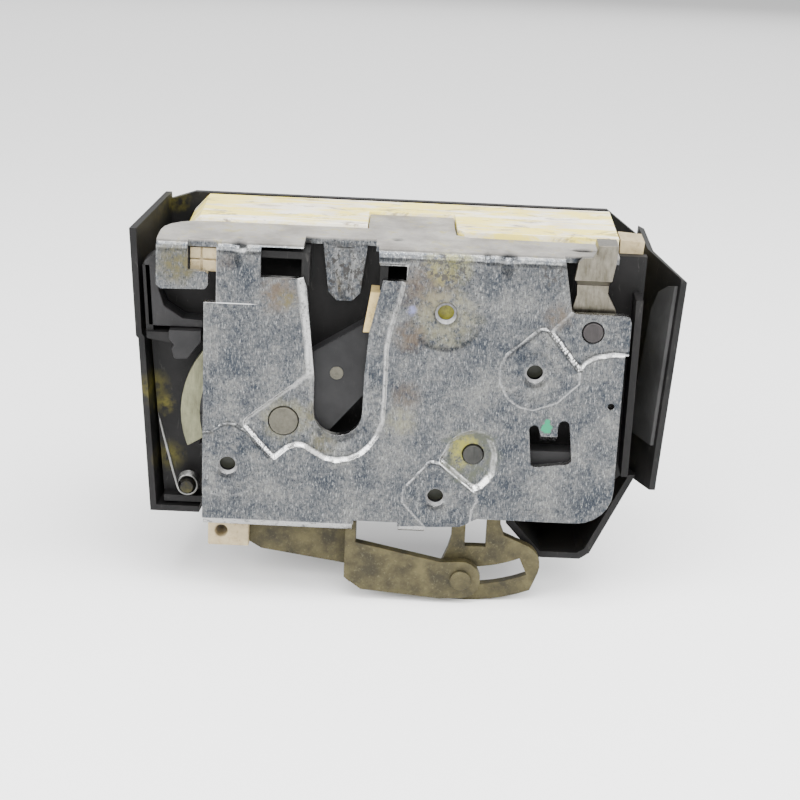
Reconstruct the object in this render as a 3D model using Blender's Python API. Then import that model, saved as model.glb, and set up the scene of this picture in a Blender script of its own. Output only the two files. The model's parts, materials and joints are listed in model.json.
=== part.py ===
"""Car side-door latch: an open claw behind a pressed steel face plate, with its pawl, release
lever, rod link, lock lever and electric lock drive.

Metres, +Z up. The origin is on the front face of the face plate, and the latch reaches back
along +Y. Outlines are drawn in millimetres as (x, z) points, seen from the front.
"""
import math

import bmesh
import bpy
from mathutils import Matrix, Vector

MM = 0.001
GAP = 0.3                        # clearance between neighbouring pieces

# Face plate
SHEET = 2.0                      # thickness of the pressed plate
FLANGE_TOP = 39.6                # upper face of the folded top flange
FOLD_RADIUS = 3.0                # outer radius of the top fold
PLATE_FOOT = -35.3
SCREW_HOLES = ((6.6, 23.6), (30.0, 8.7), (-48.1, -20.1), (6.3, -26.5))
SCREW_BORE = 2.5                 # core radius of an M6 thread

# Pivots, as (x, z)
CLAW_PIVOT = (-33.8, -7.5)
PAWL_PIVOT = (15.5, -14.5)
LOCK_PIVOT = (44.0, 20.1)
LINK_PIVOT = (14.3, -52.8)
PAWL_SPRING_POST = (31.0, -25.0)
GEAR_AXIS = (-14.0, -9.8)
WORM_HEIGHT, WORM_DEPTH = 8.0, 30.0

# Layers, as (front, back) along Y
CLAW_LAYER = (4.0, 9.0)
CORE_LAYER = (5.0, 8.0)
PAWL_LAYER = (4.5, 8.5)
RELEASE_LAYER = (9.3, 11.8)
LINK_FRONT_LAYER = (6.0, 8.6)
LINK_BACK_LAYER = (13.0, 15.6)
FLOOR_LAYER = (12.3, 15.0)
BACK_PLATE_LAYER = (15.3, 17.3)
HOUSING_LAYER = (17.6, 46.0)
COVER_LAYER = (46.5, 48.5)

# Pivot pins
CLAW_PIN_RADIUS = 3.75
PAWL_PIN_RADIUS = 2.6
LOCK_PIN_RADIUS = 2.6
LINK_PIN_RADIUS = 2.2

# Claw
SLOT_WIDTH = 12.4
SEAT = (-43.5, 7.3)              # centre of the round end of the claw's slot
SLOT_ANGLE = 32.6                # degrees, direction in which the open claw's slot faces
RIM_RADIUS = 27.0
PRONG_RADIUS = 32.0

# Lock drive
MOTOR_RADIUS = 10.0
WORM_RADIUS = 3.5
GEAR_RADIUS = 14.0
GEAR_TEETH = 24

PARTS = "car_door_latch"
CUTTERS = "cutters"


# --- scene and materials ------------------------------------------------------------------

def start_scene():
    for old in list(bpy.data.objects):
        bpy.data.objects.remove(old, do_unlink=True)
    for name in (PARTS, CUTTERS):
        collection = bpy.data.collections.new(name)
        bpy.context.scene.collection.children.link(collection)


def material(name, colour, roughness, metallic=0.0):
    finish = bpy.data.materials.get(name) or bpy.data.materials.new(name)
    finish.use_nodes = True
    shader = finish.node_tree.nodes["Principled BSDF"]
    shader.inputs["Base Color"].default_value = (*colour, 1.0)
    shader.inputs["Roughness"].default_value = roughness
    shader.inputs["Metallic"].default_value = metallic
    finish.diffuse_color = (*colour, 1.0)
    return finish


def zinc():
    return material("zinc_plated_steel", (0.55, 0.57, 0.58), 0.35, 1.0)


def bronze():
    return material("chromated_lever_steel", (0.25, 0.22, 0.12), 0.5, 0.8)


def steel():
    return material("bare_steel", (0.60, 0.59, 0.54), 0.35, 1.0)


def black_plastic():
    return material("black_plastic", (0.025, 0.025, 0.025), 0.5)


def white_nylon():
    return material("white_nylon", (0.85, 0.82, 0.74), 0.5)


def cream_plastic():
    return material("cream_plastic", (0.70, 0.62, 0.45), 0.5)


# --- outlines -----------------------------------------------------------------------------

def arc(centre, radius, start, end, steps):
    """Points on an arc, with its angles in degrees and both ends included."""
    points = []
    for step in range(steps + 1):
        angle = math.radians(start + (end - start) * step / steps)
        points.append((centre[0] + radius * math.cos(angle), centre[1] + radius * math.sin(angle)))
    return points


def circle(centre, radius, steps=24):
    return arc(centre, radius, 0, 360, steps)[:-1]


def box_outline(left, right, low, high):
    return [(left, low), (right, low), (right, high), (left, high)]


# --- solids -------------------------------------------------------------------------------

# The plane that an outline is drawn in, as the turn from a flat curve's own XY plane
FRONT_VIEW = Matrix.Rotation(math.pi / 2, 4, "X")            # (x, z), thick along Y
TOP_VIEW = Matrix.Identity(4)                                # (x, y), thick along Z
SIDE_VIEW = Matrix(((0, 0, 1, 0), (1, 0, 0, 0), (0, 1, 0, 0), (0, 0, 0, 1)))   # (y, z), along X


def place_mesh(curve_object, name, finish, collection):
    """Makes a mesh object of a curve object, closed at its caps and with its place applied."""
    bpy.context.view_layer.update()
    graph = bpy.context.evaluated_depsgraph_get()
    mesh = bpy.data.meshes.new_from_object(curve_object.evaluated_get(graph))
    mesh.transform(curve_object.matrix_world)
    work = bmesh.new()
    work.from_mesh(mesh)
    bmesh.ops.remove_doubles(work, verts=work.verts, dist=1e-6)
    bmesh.ops.recalc_face_normals(work, faces=work.faces)
    work.to_mesh(mesh)
    work.free()
    bpy.data.objects.remove(curve_object, do_unlink=True)
    solid = bpy.data.objects.new(name, mesh)
    bpy.data.collections[collection].objects.link(solid)
    mesh.materials.clear()
    if finish:
        mesh.materials.append(finish)
    if collection == CUTTERS:
        solid.hide_render = True
        solid.display_type = "WIRE"
    return solid


def prism(name, low, high, outlines, finish=None, view=FRONT_VIEW, collection=CUTTERS):
    """A flat outline, with any further outlines as holes in it, made thick from low to high."""
    curve = bpy.data.curves.new(name, "CURVE")
    curve.dimensions = "2D"
    curve.fill_mode = "BOTH"
    curve.extrude = (high - low) / 2 * MM
    for outline in outlines:
        spline = curve.splines.new("POLY")
        spline.points.add(len(outline) - 1)
        for point, (u, v) in zip(spline.points, outline):
            point.co = (u * MM, v * MM, 0, 1)
        spline.use_cyclic_u = True
    middle = (low + high) / 2 * MM
    shift = {id(FRONT_VIEW): (0, middle, 0), id(TOP_VIEW): (0, 0, middle),
             id(SIDE_VIEW): (middle, 0, 0)}[id(view)]
    drawn = bpy.data.objects.new(name + "_curve", curve)
    bpy.context.scene.collection.objects.link(drawn)
    drawn.matrix_world = Matrix.Translation(shift) @ view
    return place_mesh(drawn, name, finish, collection)


def wire(name, points, radius, finish, collection=PARTS):
    """A round wire along (x, y, z) points in millimetres."""
    curve = bpy.data.curves.new(name, "CURVE")
    curve.dimensions = "3D"
    curve.bevel_depth = radius * MM
    curve.bevel_resolution = 2
    curve.use_fill_caps = True
    spline = curve.splines.new("POLY")
    spline.points.add(len(points) - 1)
    for point, place in zip(spline.points, points):
        point.co = (*(value * MM for value in place), 1)
    drawn = bpy.data.objects.new(name + "_curve", curve)
    bpy.context.scene.collection.objects.link(drawn)
    return place_mesh(drawn, name, finish, collection)


def pin(name, centre, steps, finish=None, collection=CUTTERS, sides=24):
    """A stepped round pin along Y: steps are (front, back, radius), each meeting the next."""
    work = bmesh.new()
    rings = []
    for front, back, radius in steps:
        for depth in (front, back):
            ring = [work.verts.new((x * MM, depth * MM, z * MM))
                    for x, z in circle(centre, radius, sides)]
            rings.append(ring)
    for near, far in zip(rings, rings[1:]):
        for side in range(sides):
            nxt = (side + 1) % sides
            work.faces.new((near[side], near[nxt], far[nxt], far[side]))
    work.faces.new(rings[0])
    work.faces.new(rings[-1])
    bmesh.ops.recalc_face_normals(work, faces=work.faces)
    mesh = bpy.data.meshes.new(name)
    work.to_mesh(mesh)
    work.free()
    solid = bpy.data.objects.new(name, mesh)
    bpy.data.collections[collection].objects.link(solid)
    if finish:
        mesh.materials.append(finish)
    if collection == CUTTERS:
        solid.hide_render = True
        solid.display_type = "WIRE"
    return solid


def combine(solid, tools, operation):
    for tool in tools:
        boolean = solid.modifiers.new(tool.name, "BOOLEAN")
        boolean.operation = operation
        boolean.solver = "EXACT"
        boolean.object = tool


def cut(solid, *tools):
    combine(solid, tools, "DIFFERENCE")


def join(solid, *tools):
    combine(solid, tools, "UNION")


def keep_common(solid, *tools):
    combine(solid, tools, "INTERSECT")


def set_origin(solid, x, y, z):
    """Moves an object's origin, in millimetres, and leaves its shape where it is."""
    origin = Vector((x, y, z)) * MM
    solid.data.transform(Matrix.Translation(-origin))
    solid.location = origin


def smooth(solid, angle=35):
    solid.data.shade_smooth()
    solid.data.set_sharp_from_angle(angle=math.radians(angle))


def box(name, xs, ys, zs, finish=None, collection=CUTTERS):
    return prism(name, ys[0], ys[1], [box_outline(xs[0], xs[1], zs[0], zs[1])], finish,
                 collection=collection)


# --- face plate ---------------------------------------------------------------------------

def slot_outline():
    """The striker's mouth with the two side windows that open into it."""
    return [(-29.7, 50), (-29.7, 38.6), (-40.3, 38.6), (-40.3, 31.0), (-29.6, 31.0),
            (-28.7, 28.2), (-26.2, 4.4),
            *arc((-19.9, -4.8), 6.3, 180, 360, 12),
            (-13.4, 5.5), (-12.6, 17.1), (-9.5, 31.2), (-3.7, 31.2), (-3.7, 35.2),
            (-10.6, 35.2), (-11.6, 50)]


def sheet_outline():
    return [(-54.5, -35.3), (-54.5, 23.8), (-51.4, 23.8), (-51.4, FLANGE_TOP),
            (35.6, FLANGE_TOP), (38.2, 25.6), (39.2, 24.8),
            *arc((51.7, 23.0), 1.8, 90, 0, 3), (53.5, 14.4), (52.5, 14.4),
            *arc((43.2, -22.9), 9.3, 0, -90, 6), (17.6, -32.2), (13.0, -34.4),
            (-3.3, -35.3), (-3.3, -34.2), (-14.9, -34.2), (-14.9, -35.3)]


def top_flange_outline():
    return [*arc((-56.5, 10.0), 10.0, 180, 90, 5), (-14.0, 20.0), (-14.0, 34.5), (8.0, 34.5),
            (8.5, 17.0), (12.0, 15.0), (49.3, 14.0), (49.3, 2.6), (35.6, 2.6), (35.6, 0.0),
            (-66.5, 0.0)]


def mouth_tongue():
    """The tab bent down behind the mouth, which guides the striker in."""
    bend = prism("tongue_bend", -26.0, -13.2,
                 [[(10.0, 37.2), (10.2, FLANGE_TOP - 0.4), (11.2, FLANGE_TOP), (14.0, FLANGE_TOP),
                   (14.0, 37.6), (12.0, 37.4), (12.0, 22.6), (10.0, 22.6)]], view=SIDE_VIEW)
    face = prism("tongue_face", 9.0, 15.0,
                 [[(-25.8, 42.0), (-23.6, 25.0), (-21.5, 22.8), (-17.5, 22.8), (-15.4, 25.0),
                   (-13.4, 42.0)]])
    keep_common(bend, face)
    return bend


def bottom_flange(name, left, right, reach):
    """A strip bent back and down along the plate's foot."""
    return prism(name, left, right,
                 [[(0.4, PLATE_FOOT + 0.6), (SHEET, PLATE_FOOT + 0.6),
                   (SHEET + reach, PLATE_FOOT + 0.8 - reach), (reach + 0.7, PLATE_FOOT - 0.4 - reach)]],
                 view=SIDE_VIEW)


def face_plate():
    window = [*arc((30.8, -6.5), 1.3, 180, 0, 5), (32.5, -7.9), (36.8, -7.4),
              *arc((38.4, -5.2), 1.5, 180, 0, 5), (41.0, -14.8), (40.2, -15.7), (31.4, -16.9),
              (30.5, -16.2)]
    plate = prism("face_plate", 0.0, SHEET, [sheet_outline()], zinc(), collection=PARTS)
    hook = prism("hook_tab", 0.0, SHEET,
                 [[(-66.5, FLANGE_TOP), (-66.5, 28.0), (-65.4, 26.9), (-54.3, 27.2),
                   (-53.5, 28.2), (-53.5, 31.2), (-54.2, 31.8), (-58.7, 31.8),
                   (-58.7, FLANGE_TOP)]])
    flange = prism("top_flange", FLANGE_TOP - SHEET, FLANGE_TOP, [top_flange_outline()],
                   view=TOP_VIEW)
    fold_waste = prism("fold_waste", -80, 60,
                       [[(-1.0, FLANGE_TOP - FOLD_RADIUS), (0.0, FLANGE_TOP - FOLD_RADIUS),
                         *arc((FOLD_RADIUS, FLANGE_TOP - FOLD_RADIUS), FOLD_RADIUS, 180, 90, 5),
                         (FOLD_RADIUS, FLANGE_TOP + 1.0), (-1.0, FLANGE_TOP + 1.0)]],
                       view=SIDE_VIEW)
    mouth = prism("mouth", -5.0, SHEET + 3.0, [slot_outline()])
    flange_mouth = box("flange_mouth", (-29.7, -11.6), (-5.0, 10.1), (37.0, 45.0))
    window_1 = box("window_1", (-58.7, -51.4), (-5.0, 2.4), (31.8, 45.0))
    pawl_window = prism("pawl_window", -5.0, 5.0, [window])
    join(plate, hook, flange, bottom_flange("long_lip", -54.5, -15.2, 2.2),
         bottom_flange("short_lip", -3.1, 3.9, 1.6))
    cut(plate, fold_waste, mouth, flange_mouth, window_1, pawl_window)
    join(plate, mouth_tongue())
    for number, centre in enumerate(SCREW_HOLES):
        cut(plate, pin(f"screw_bore_{number}", centre, [(-5, 6, SCREW_BORE)]))
    for name, centre, radius in (("claw_pin_bore", CLAW_PIVOT, CLAW_PIN_RADIUS),
                                 ("pawl_pin_bore", PAWL_PIVOT, PAWL_PIN_RADIUS),
                                 ("lock_pin_bore", LOCK_PIVOT, LOCK_PIN_RADIUS)):
        cut(plate, pin(name, centre, [(-5, 6, radius + GAP)]))
    cut(plate, pin("gauge_bore", (50.0, 0.7), [(-5, 6, 0.9)], sides=12))
    smooth(plate)


# --- claw ---------------------------------------------------------------------------------

def claw_outline(inset, rim):
    """The open claw; inset draws its edges in, except on the rim."""
    half = SLOT_WIDTH / 2 + inset
    turn = math.radians(SLOT_ANGLE)
    along = (math.cos(turn), math.sin(turn))
    lower = (SEAT[0] + half * along[1], SEAT[1] - half * along[0])
    low_reach = 33.0 - 2 * inset
    prong_top = (lower[0] + low_reach * along[0], lower[1] + low_reach * along[1])
    upper = (SEAT[0] - half * along[1], SEAT[1] + half * along[0])
    high_reach = 18.5 - inset
    prong_under = (upper[0] + high_reach * along[0], upper[1] + high_reach * along[1])
    outer = PRONG_RADIUS - inset
    return [prong_top, (-11.6 - inset, 17.2 - 2 * inset), (-11.5 - inset, 1.6),
            (-13.9 - inset, -1.0 + inset), (-22.6 - inset, -11.5 + inset),
            *arc(CLAW_PIVOT, 14.6 - inset, -42, -126, 8),
            (-44.0, -14.6 + inset), (-56.0 + 0.4 * inset, -16.6 + inset),
            *arc(CLAW_PIVOT, rim, 201, 142, 8),
            *arc(CLAW_PIVOT, outer, 116, 85, 5),
            prong_under,
            *arc(SEAT, half, SLOT_ANGLE + 90, SLOT_ANGLE + 270, 10)]


def claw():
    pin_bore = circle(CLAW_PIVOT, CLAW_PIN_RADIUS + GAP)
    core = prism("claw_core", *CORE_LAYER, [claw_outline(1.6, RIM_RADIUS), pin_bore], steel(),
                 collection=PARTS)
    jacket = prism("claw_jacket", *CLAW_LAYER,
                   [claw_outline(0.0, RIM_RADIUS - 5.0), circle(CLAW_PIVOT, CLAW_PIN_RADIUS + 1.2)],
                   black_plastic(), collection=PARTS)
    room = prism("core_room", CORE_LAYER[0] - 0.15, CORE_LAYER[1] + 0.15,
                 [claw_outline(1.3, RIM_RADIUS + 0.5)])
    cut(jacket, room)
    for solid in (core, jacket):
        set_origin(solid, CLAW_PIVOT[0], 0, CLAW_PIVOT[1])
        smooth(solid)
    rivet = pin("claw_rivet", CLAW_PIVOT,
                [(0.5, 17.6, CLAW_PIN_RADIUS), (17.6, 18.8, 5.6)], steel(), PARTS)
    smooth(rivet)
    wire("claw_spring", coil(CLAW_PIVOT, 6.4, 10.0, 11.6, 1.6, 14, 14, end_arm=(-52.0, -22.5)),
         0.5, steel())


def coil(centre, radius, front, back, turns, start, steps, start_arm=None, end_arm=None):
    """Points of a torsion spring round a Y axis, with straight arms to (x, z) points."""
    points = []
    count = round(turns * steps)
    for step in range(count + 1):
        part = step / count
        angle = math.radians(start + 360 * turns * part)
        points.append((centre[0] + radius * math.cos(angle), front + (back - front) * part,
                       centre[1] + radius * math.sin(angle)))
    if start_arm:
        points.insert(0, (start_arm[0], front, start_arm[1]))
    if end_arm:
        points.append((end_arm[0], back, end_arm[1]))
    return points


# --- pawl and release ---------------------------------------------------------------------

def pawl():
    outline = [(2.0, -3.6), (2.0, -6.6), (8.4, -17.0), *arc(PAWL_PIVOT, 6.6, 200, 300, 5),
               (24.5, -21.6), (26.2, -18.4), *arc(PAWL_PIVOT, 6.6, 10, 100, 4), (6.2, -1.4),
               (3.4, -1.6)]
    solid = prism("pawl", *PAWL_LAYER, [outline, circle(PAWL_PIVOT, PAWL_PIN_RADIUS + GAP)],
                  steel(), collection=PARTS)
    set_origin(solid, PAWL_PIVOT[0], 0, PAWL_PIVOT[1])
    smooth(solid)
    smooth(pin("pawl_pin", PAWL_PIVOT, [(0.5, 17.6, PAWL_PIN_RADIUS), (17.6, 18.8, 4.4)],
               steel(), PARTS))
    wire("pawl_spring", coil(PAWL_SPRING_POST, 3.0, 5.0, 8.0, 2.69, 230, 12,
                             start_arm=(40.0, -29.0), end_arm=(25.9, -22.6)), 0.4, steel())




def release_lever():
    outline = [*arc(PAWL_PIVOT, 7.2, 205, -25, 12), (24.0, -22.0), (24.4, -38.0), (25.4, -40.6),
               (29.6, -42.4), *arc((29.2, -49.2), 6.4, 60, -20, 5),
               *arc(PAWL_PIVOT, 45.6, -67, -94, 6), (9.4, -58.0), (8.4, -51.0), (10.6, -45.2),
               (11.4, -42.0), (11.4, -32.0), (8.0, -22.0)]
    between = [(15.1, -30.0), (20.7, -30.0), (20.7, -44.2), (15.1, -44.2)]
    slot = [*arc(PAWL_PIVOT, 41.0, -85, -66, 6), *arc(PAWL_PIVOT, 35.8, -66, -85, 6)]
    holes = [between, slot, circle(PAWL_PIVOT, PAWL_PIN_RADIUS + GAP),
             circle(LINK_PIVOT, LINK_PIN_RADIUS + GAP, 16)]
    solid = prism("release_lever", *RELEASE_LAYER, [outline, *holes], bronze(), collection=PARTS)
    set_origin(solid, PAWL_PIVOT[0], 0, PAWL_PIVOT[1])
    smooth(solid)


def handle_link():
    front = [(-14.6, -43.0), (8.7, -47.8), *arc(LINK_PIVOT, 5.4, 80, -95, 8), (9.0, -58.6),
             (-12.4, -56.8), (-15.4, -54.6)]
    back = [(-45.8, -37.5), (-46.0, -43.4), (-44.2, -46.6), (-39.8, -49.2), (-15.4, -52.8),
            (-14.6, -38.5), (-30.0, -37.0)]
    solid = prism("handle_link", *LINK_FRONT_LAYER,
                  [front, circle(LINK_PIVOT, LINK_PIN_RADIUS + GAP, 16)], bronze(),
                  collection=PARTS)
    web = prism("link_web", LINK_FRONT_LAYER[0], LINK_BACK_LAYER[1],
                [[(-17.0, -37.0), (-17.0, -53.4), (-15.4, -54.8), (-14.2, -52.0), (-14.2, -37.0)]])
    join(solid, web, prism("link_tail", *LINK_BACK_LAYER, [back]))
    set_origin(solid, LINK_PIVOT[0], 0, LINK_PIVOT[1])
    smooth(solid)
    joint = pin("link_pin", LINK_PIVOT,
                [(5.1, 5.7, 2.8), (5.7, 12.1, LINK_PIN_RADIUS), (12.1, 12.7, 3.2)], bronze(), PARTS)
    set_origin(joint, LINK_PIVOT[0], 0, LINK_PIVOT[1])
    smooth(joint)


def rod_clip():
    clip = box("rod_clip", (-54.0, -43.0), (9.8, 18.6), (-47.4, -39.2), cream_plastic(), PARTS)
    cut(clip, box("clip_slit", (-46.4, -40.0), (12.7, 15.9), (-50.0, -36.0)),
        pin("rod_bore", (-50.4, -43.2), [(5, 25, 1.7)], sides=16))
    set_origin(clip, LINK_PIVOT[0], 0, LINK_PIVOT[1])
    smooth(clip)


def return_spring():
    wire("release_return_spring",
         coil((-59.2, -29.0), 2.7, 6.6, 10.2, 4.0, 190, 12, start_arm=(-67.2, -7.6)), 0.45, steel())


# --- lock lever ---------------------------------------------------------------------------

def lock_lever():
    joggled = [(4.0, 6.0), (4.0, 31.6), (-0.6, 34.0), (-0.6, 43.2), (6.4, 43.2), (6.4, 41.6),
               (1.1, 41.6), (1.1, 34.9), (5.8, 32.5), (5.8, 6.0)]
    outline = [(40.4, 6.0), (37.6, 18.0), (38.4, 25.0), (39.4, 29.0), (39.2, 32.2), (38.2, 34.2),
               (38.8, 38.6), (40.2, 39.8), (42.4, 40.0), (43.2, 41.0), (43.6, 44.0),
               (48.6, 44.0), (48.3, 39.0), (47.4, 33.0), (47.3, 29.4), (49.6, 25.2), (50.4, 20.0),
               (47.0, 6.0)]
    lever = prism("lock_lever", 36.0, 52.0, [joggled], steel(), SIDE_VIEW, PARTS)
    keep_common(lever, prism("lock_lever_face", -3.0, 9.0, [outline]))
    cut(lever, pin("lock_lever_bore", LOCK_PIVOT, [(-5, 9, LOCK_PIN_RADIUS + GAP)]))
    set_origin(lever, LOCK_PIVOT[0], 0, LOCK_PIVOT[1])
    smooth(lever)
    smooth(pin("lock_rivet", LOCK_PIVOT, [(0.3, 6.2, LOCK_PIN_RADIUS), (6.2, 7.4, 4.4)],
               black_plastic(), PARTS))


# --- latch frame, buffer and back plate ---------------------------------------------------

def latch_frame():
    """The black moulding behind the face plate: a floor, edge walls, mouth walls and posts."""
    low, high = FLOOR_LAYER
    floor = [(-70.8, 31.0), (-69.6, 13.0), (-65.9, -34.8), (-6.0, -34.8), (-2.0, -30.0),
             (1.0, -24.0), (6.0, -19.0), (25.0, -19.0), (28.0, -30.0), (30.0, -34.0),
             (43.0, -34.0), (56.5, -22.0), (57.5, 36.0), (57.5, 37.3), (-60.0, 37.3),
             (-64.0, 31.0)]
    frame = prism("latch_frame", low, high,
                  [floor, circle(CLAW_PIVOT, CLAW_PIN_RADIUS + GAP),
                   circle(PAWL_PIVOT, PAWL_PIN_RADIUS + GAP)], black_plastic(), collection=PARTS)
    front = SHEET + GAP
    root = high - 0.8
    walls = [
        box("top_wall_left", (-49.8, -28.2), (front, root), (35.5, 37.3)),
        box("top_wall_right", (-10.4, 34.0), (front, root), (35.5, 37.3)),
        box("mouth_wall_left", (-30.2, -28.2), (front, root), (28.6, 37.3)),
        box("mouth_wall_right", (-10.4, -8.4), (front, root), (28.4, 37.3)),
        box("bottom_wall_left", (-52.0, -8.0), (front + 1.0, root), (-33.6, -32.0)),
        box("bottom_wall_right", (30.0, 44.0), (front, root), (-31.6, -30.0)),
        box("right_wall", (54.6, 56.4), (front + 1.7, root), (-20.0, 28.0)),
        prism("left_rib", 6.4, root, [[(-70.8, 31.0), (-69.8, 13.0), (-68.0, 13.0), (-69.0, 31.0)]]),
        prism("step_rib", 5.4, root, [[(-69.7, 13.6), (-69.6, 11.8), (-60.5, 10.4), (-60.5, 12.4),
                                       (-64.0, 13.6)]]),
        prism("left_foot", 9.0, root, [[(-65.8, -33.0), (-54.8, -33.0), (-54.8, -34.8),
                                        (-65.6, -34.8)]]),
        pin("return_spring_post", (-59.2, -29.0), [(5.2, root, 1.7)], sides=16),
        pin("pawl_spring_post", PAWL_SPRING_POST, [(4.6, root, 1.8)], sides=16),
    ]
    join(frame, *walls)
    smooth(frame)


def slot_buffer():
    buffer = prism("slot_buffer", SHEET + 0.4, 3.7,
                   [[(-14.2, 17.0), (-12.6, 17.0), (-10.0, 27.6), (-12.6, 27.6)]], cream_plastic(),
                   collection=PARTS)
    join(buffer, prism("buffer_block", 3.0, 9.0,
                       [[(-12.6, 24.0), (-10.9, 24.0), (-10.0, 27.6), (-12.6, 27.6)]]))
    smooth(buffer)


def window_block():
    block = box("window_block", (-58.3, -50.6), (3.0, 11.0), (31.0, 37.2), cream_plastic(), PARTS)
    cut(block, box("cross_groove", (-60, -50), (2.0, 3.6), (33.9, 34.3)),
        box("upright_groove", (-55.6, -55.2), (2.0, 3.6), (30, 38)))


def back_plate():
    outline = [(-60.0, 34.0), (-60.0, -30.0), (-54.0, -34.0), (-6.0, -34.0), (6.0, -19.5),
               (25.0, -19.5), (32.0, -30.0), (46.0, -30.0), (50.0, -24.0), (50.0, 34.0)]
    holes = [circle(CLAW_PIVOT, CLAW_PIN_RADIUS + GAP), circle(PAWL_PIVOT, PAWL_PIN_RADIUS + GAP),
             box_outline(4.0, 16.0, 8.0, 20.0), box_outline(-54.0, -46.0, 14.0, 26.0)]
    prism("back_plate", *BACK_PLATE_LAYER, [outline, *holes], zinc(), collection=PARTS)


# --- housing and cover --------------------------------------------------------------------

COVER_SCREWS = ((-54.0, 31.0), (42.0, 31.0), (-50.0, -22.0))


def actuator_housing():
    front, back = HOUSING_LAYER
    outer = [(-62.0, -28.0), (-58.0, -31.0), (22.0, -31.0), (27.0, -36.0), (44.0, -36.0),
             (50.5, -22.0), (50.5, 40.4), (-58.0, 40.4), (-62.0, 36.0)]
    cavity = [(-60.0, -27.4), (-57.4, -29.0), (22.6, -29.0), (27.8, -34.0), (43.0, -34.0),
              (48.5, -21.6), (48.5, 38.4), (11.5, 38.4), (11.5, 35.3), (-17.5, 35.3),
              (-17.5, 38.4), (-57.2, 38.4), (-60.0, 35.2)]
    housing = prism("actuator_housing", front, back, [outer], white_nylon(), collection=PARTS)
    bosses = [pin(f"screw_boss_{n}", c, [(front + 8, back - 1, 4.2)], sides=16)
              for n, c in enumerate(COVER_SCREWS)]
    cut(housing, prism("housing_room", front - 2, back - 2, [cavity]),
        prism("flange_room", 30.0, 45.0,
              [[(-70, 10), (-70, 20.4), (-14.4, 20.4), (-14.4, 34.9), (8.4, 34.9), (8.9, 20.0),
                (12.4, 15.4), (60, 14.4), (60, 10)]], view=TOP_VIEW),
        box("rear_bevel_room", (-80, 80), (50, 60), (30, 50)))
    shelf = box("flange_shelf", (-17.5, 11.5), (front, back - 1), (35.3, 37.3))
    join(housing, shelf, *bosses)
    cut(housing, *[pin(f"screw_room_{n}", c, [(front + 9, back + 3, 1.8)], sides=16)
                   for n, c in enumerate(COVER_SCREWS)])
    smooth(housing)


def draft(solid, depth, scale):
    """Draws what lies deeper than a depth in towards the middle plane."""
    for vertex in solid.data.vertices:
        if vertex.co.y > depth * MM:
            vertex.co.x *= scale
    flat_faces = bmesh.new()
    flat_faces.from_mesh(solid.data)
    bmesh.ops.triangulate(flat_faces, faces=flat_faces.faces)
    flat_faces.to_mesh(solid.data)
    flat_faces.free()


def outer_cover():
    front, back = COVER_LAYER
    rear = [(-69.5, 38.0), (-66.0, -37.6), (26.4, -37.6), (35.0, -47.4), (46.6, -47.4),
            (49.0, -46.0), (60.0, -22.0), (60.0, 33.0), (50.0, 40.6), (-62.0, 40.6)]
    cover = prism("outer_cover", front, back, [rear], black_plastic(), collection=PARTS)
    left = prism("left_wall", 8.0, back - 0.5,
                 [[(-74.4, 40.0), (-72.8, 11.4), (-72.2, 10.8), (-69.2, -37.3), (-56.2, -37.3),
                   (-56.2, -35.6), (-67.6, -35.6), (-70.6, 11.2), (-71.3, 12.2), (-72.6, 40.0)]])
    draft(left, 20.0, 0.945)
    right = prism("right_wall_shell", -25.0, 36.5,
                  [[(67.6, 8.0), (66.0, 8.0), (58.6, 24.0), (58.6, back - 0.5),
                    (60.4, back - 0.5), (60.4, 25.0)]], view=TOP_VIEW)
    for vertex in right.data.vertices:
        vertex.co.x -= (0.0325 - vertex.co.z) * 0.055
    tray = prism("lower_tray", 13.0, back - 0.5,
                 [[(26.0, -38.6), (34.6, -48.2), (46.4, -48.2), (49.0, -46.4), (59.6, -23.0),
                   (57.8, -23.0), (47.6, -45.2), (45.6, -46.4), (35.6, -46.4), (27.6, -37.4)]])
    belly = box("belly_wall", (-66.0, 27.8), (22.0, back - 0.7), (-38.2, -36.4))
    top_trim = prism("right_top_trim", 6.0, 50.0,
                     [[(55.0, 36.8), (58.0, 36.8), (70.0, 31.2), (75.0, 31.2), (75.0, 45.0),
                       (55.0, 45.0)]])
    cut(right, top_trim)
    join(cover, left, right, tray, belly)
    cut(cover, *[pin(f"cover_bore_{n}", c, [(40, 60, 1.8)], sides=16)
                 for n, c in enumerate(COVER_SCREWS)])
    smooth(cover)
    for number, centre in enumerate(COVER_SCREWS):
        screw = pin(f"cover_screw_{number + 1}", centre,
                    [(30.0, back + GAP, 1.5), (back + GAP, back + 2.4, 3.6)], steel(), PARTS, 20)
        cut(screw, prism(f"drive_recess_{number}", back + 1.2, back + 4.0, [circle(centre, 1.5, 6)]))
        smooth(screw)


def lever_guide():
    guide = prism("lever_guide", 17.6, 26.0,
                  [[(50.9, 29.0), (54.2, 27.0), (56.6, 31.0), (57.2, 39.8), (50.9, 40.2)]],
                  cream_plastic(), collection=PARTS)
    cut(guide, prism("guide_notch", 15.0, 22.0, [[(52.6, 34.6), (55.4, 34.6), (54.0, 29.6)]]))


def connector_socket():
    socket = box("connector_socket", (12.0, 36.0), (48.8, 56.0), (-8.0, 6.0), black_plastic(),
                 PARTS)
    cut(socket, box("socket_room", (13.6, 34.4), (50.4, 60.0), (-6.4, 4.4)))
    join(socket, *[box(f"terminal_{n}", (x, x + 0.8), (50.0, 54.5), (-1.6, -0.8))
                   for n, x in enumerate((17.0, 21.0, 25.0, 29.0))])


# --- lock drive inside the housing --------------------------------------------------------

def along_x(solid, y, z):
    """Turns a pin made along Y at the origin so that it lies along X at a height and depth."""
    solid.data.transform(Matrix.Rotation(-math.pi / 2, 4, "Z"))
    solid.data.transform(Matrix.Translation((0, y * MM, z * MM)))


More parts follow.
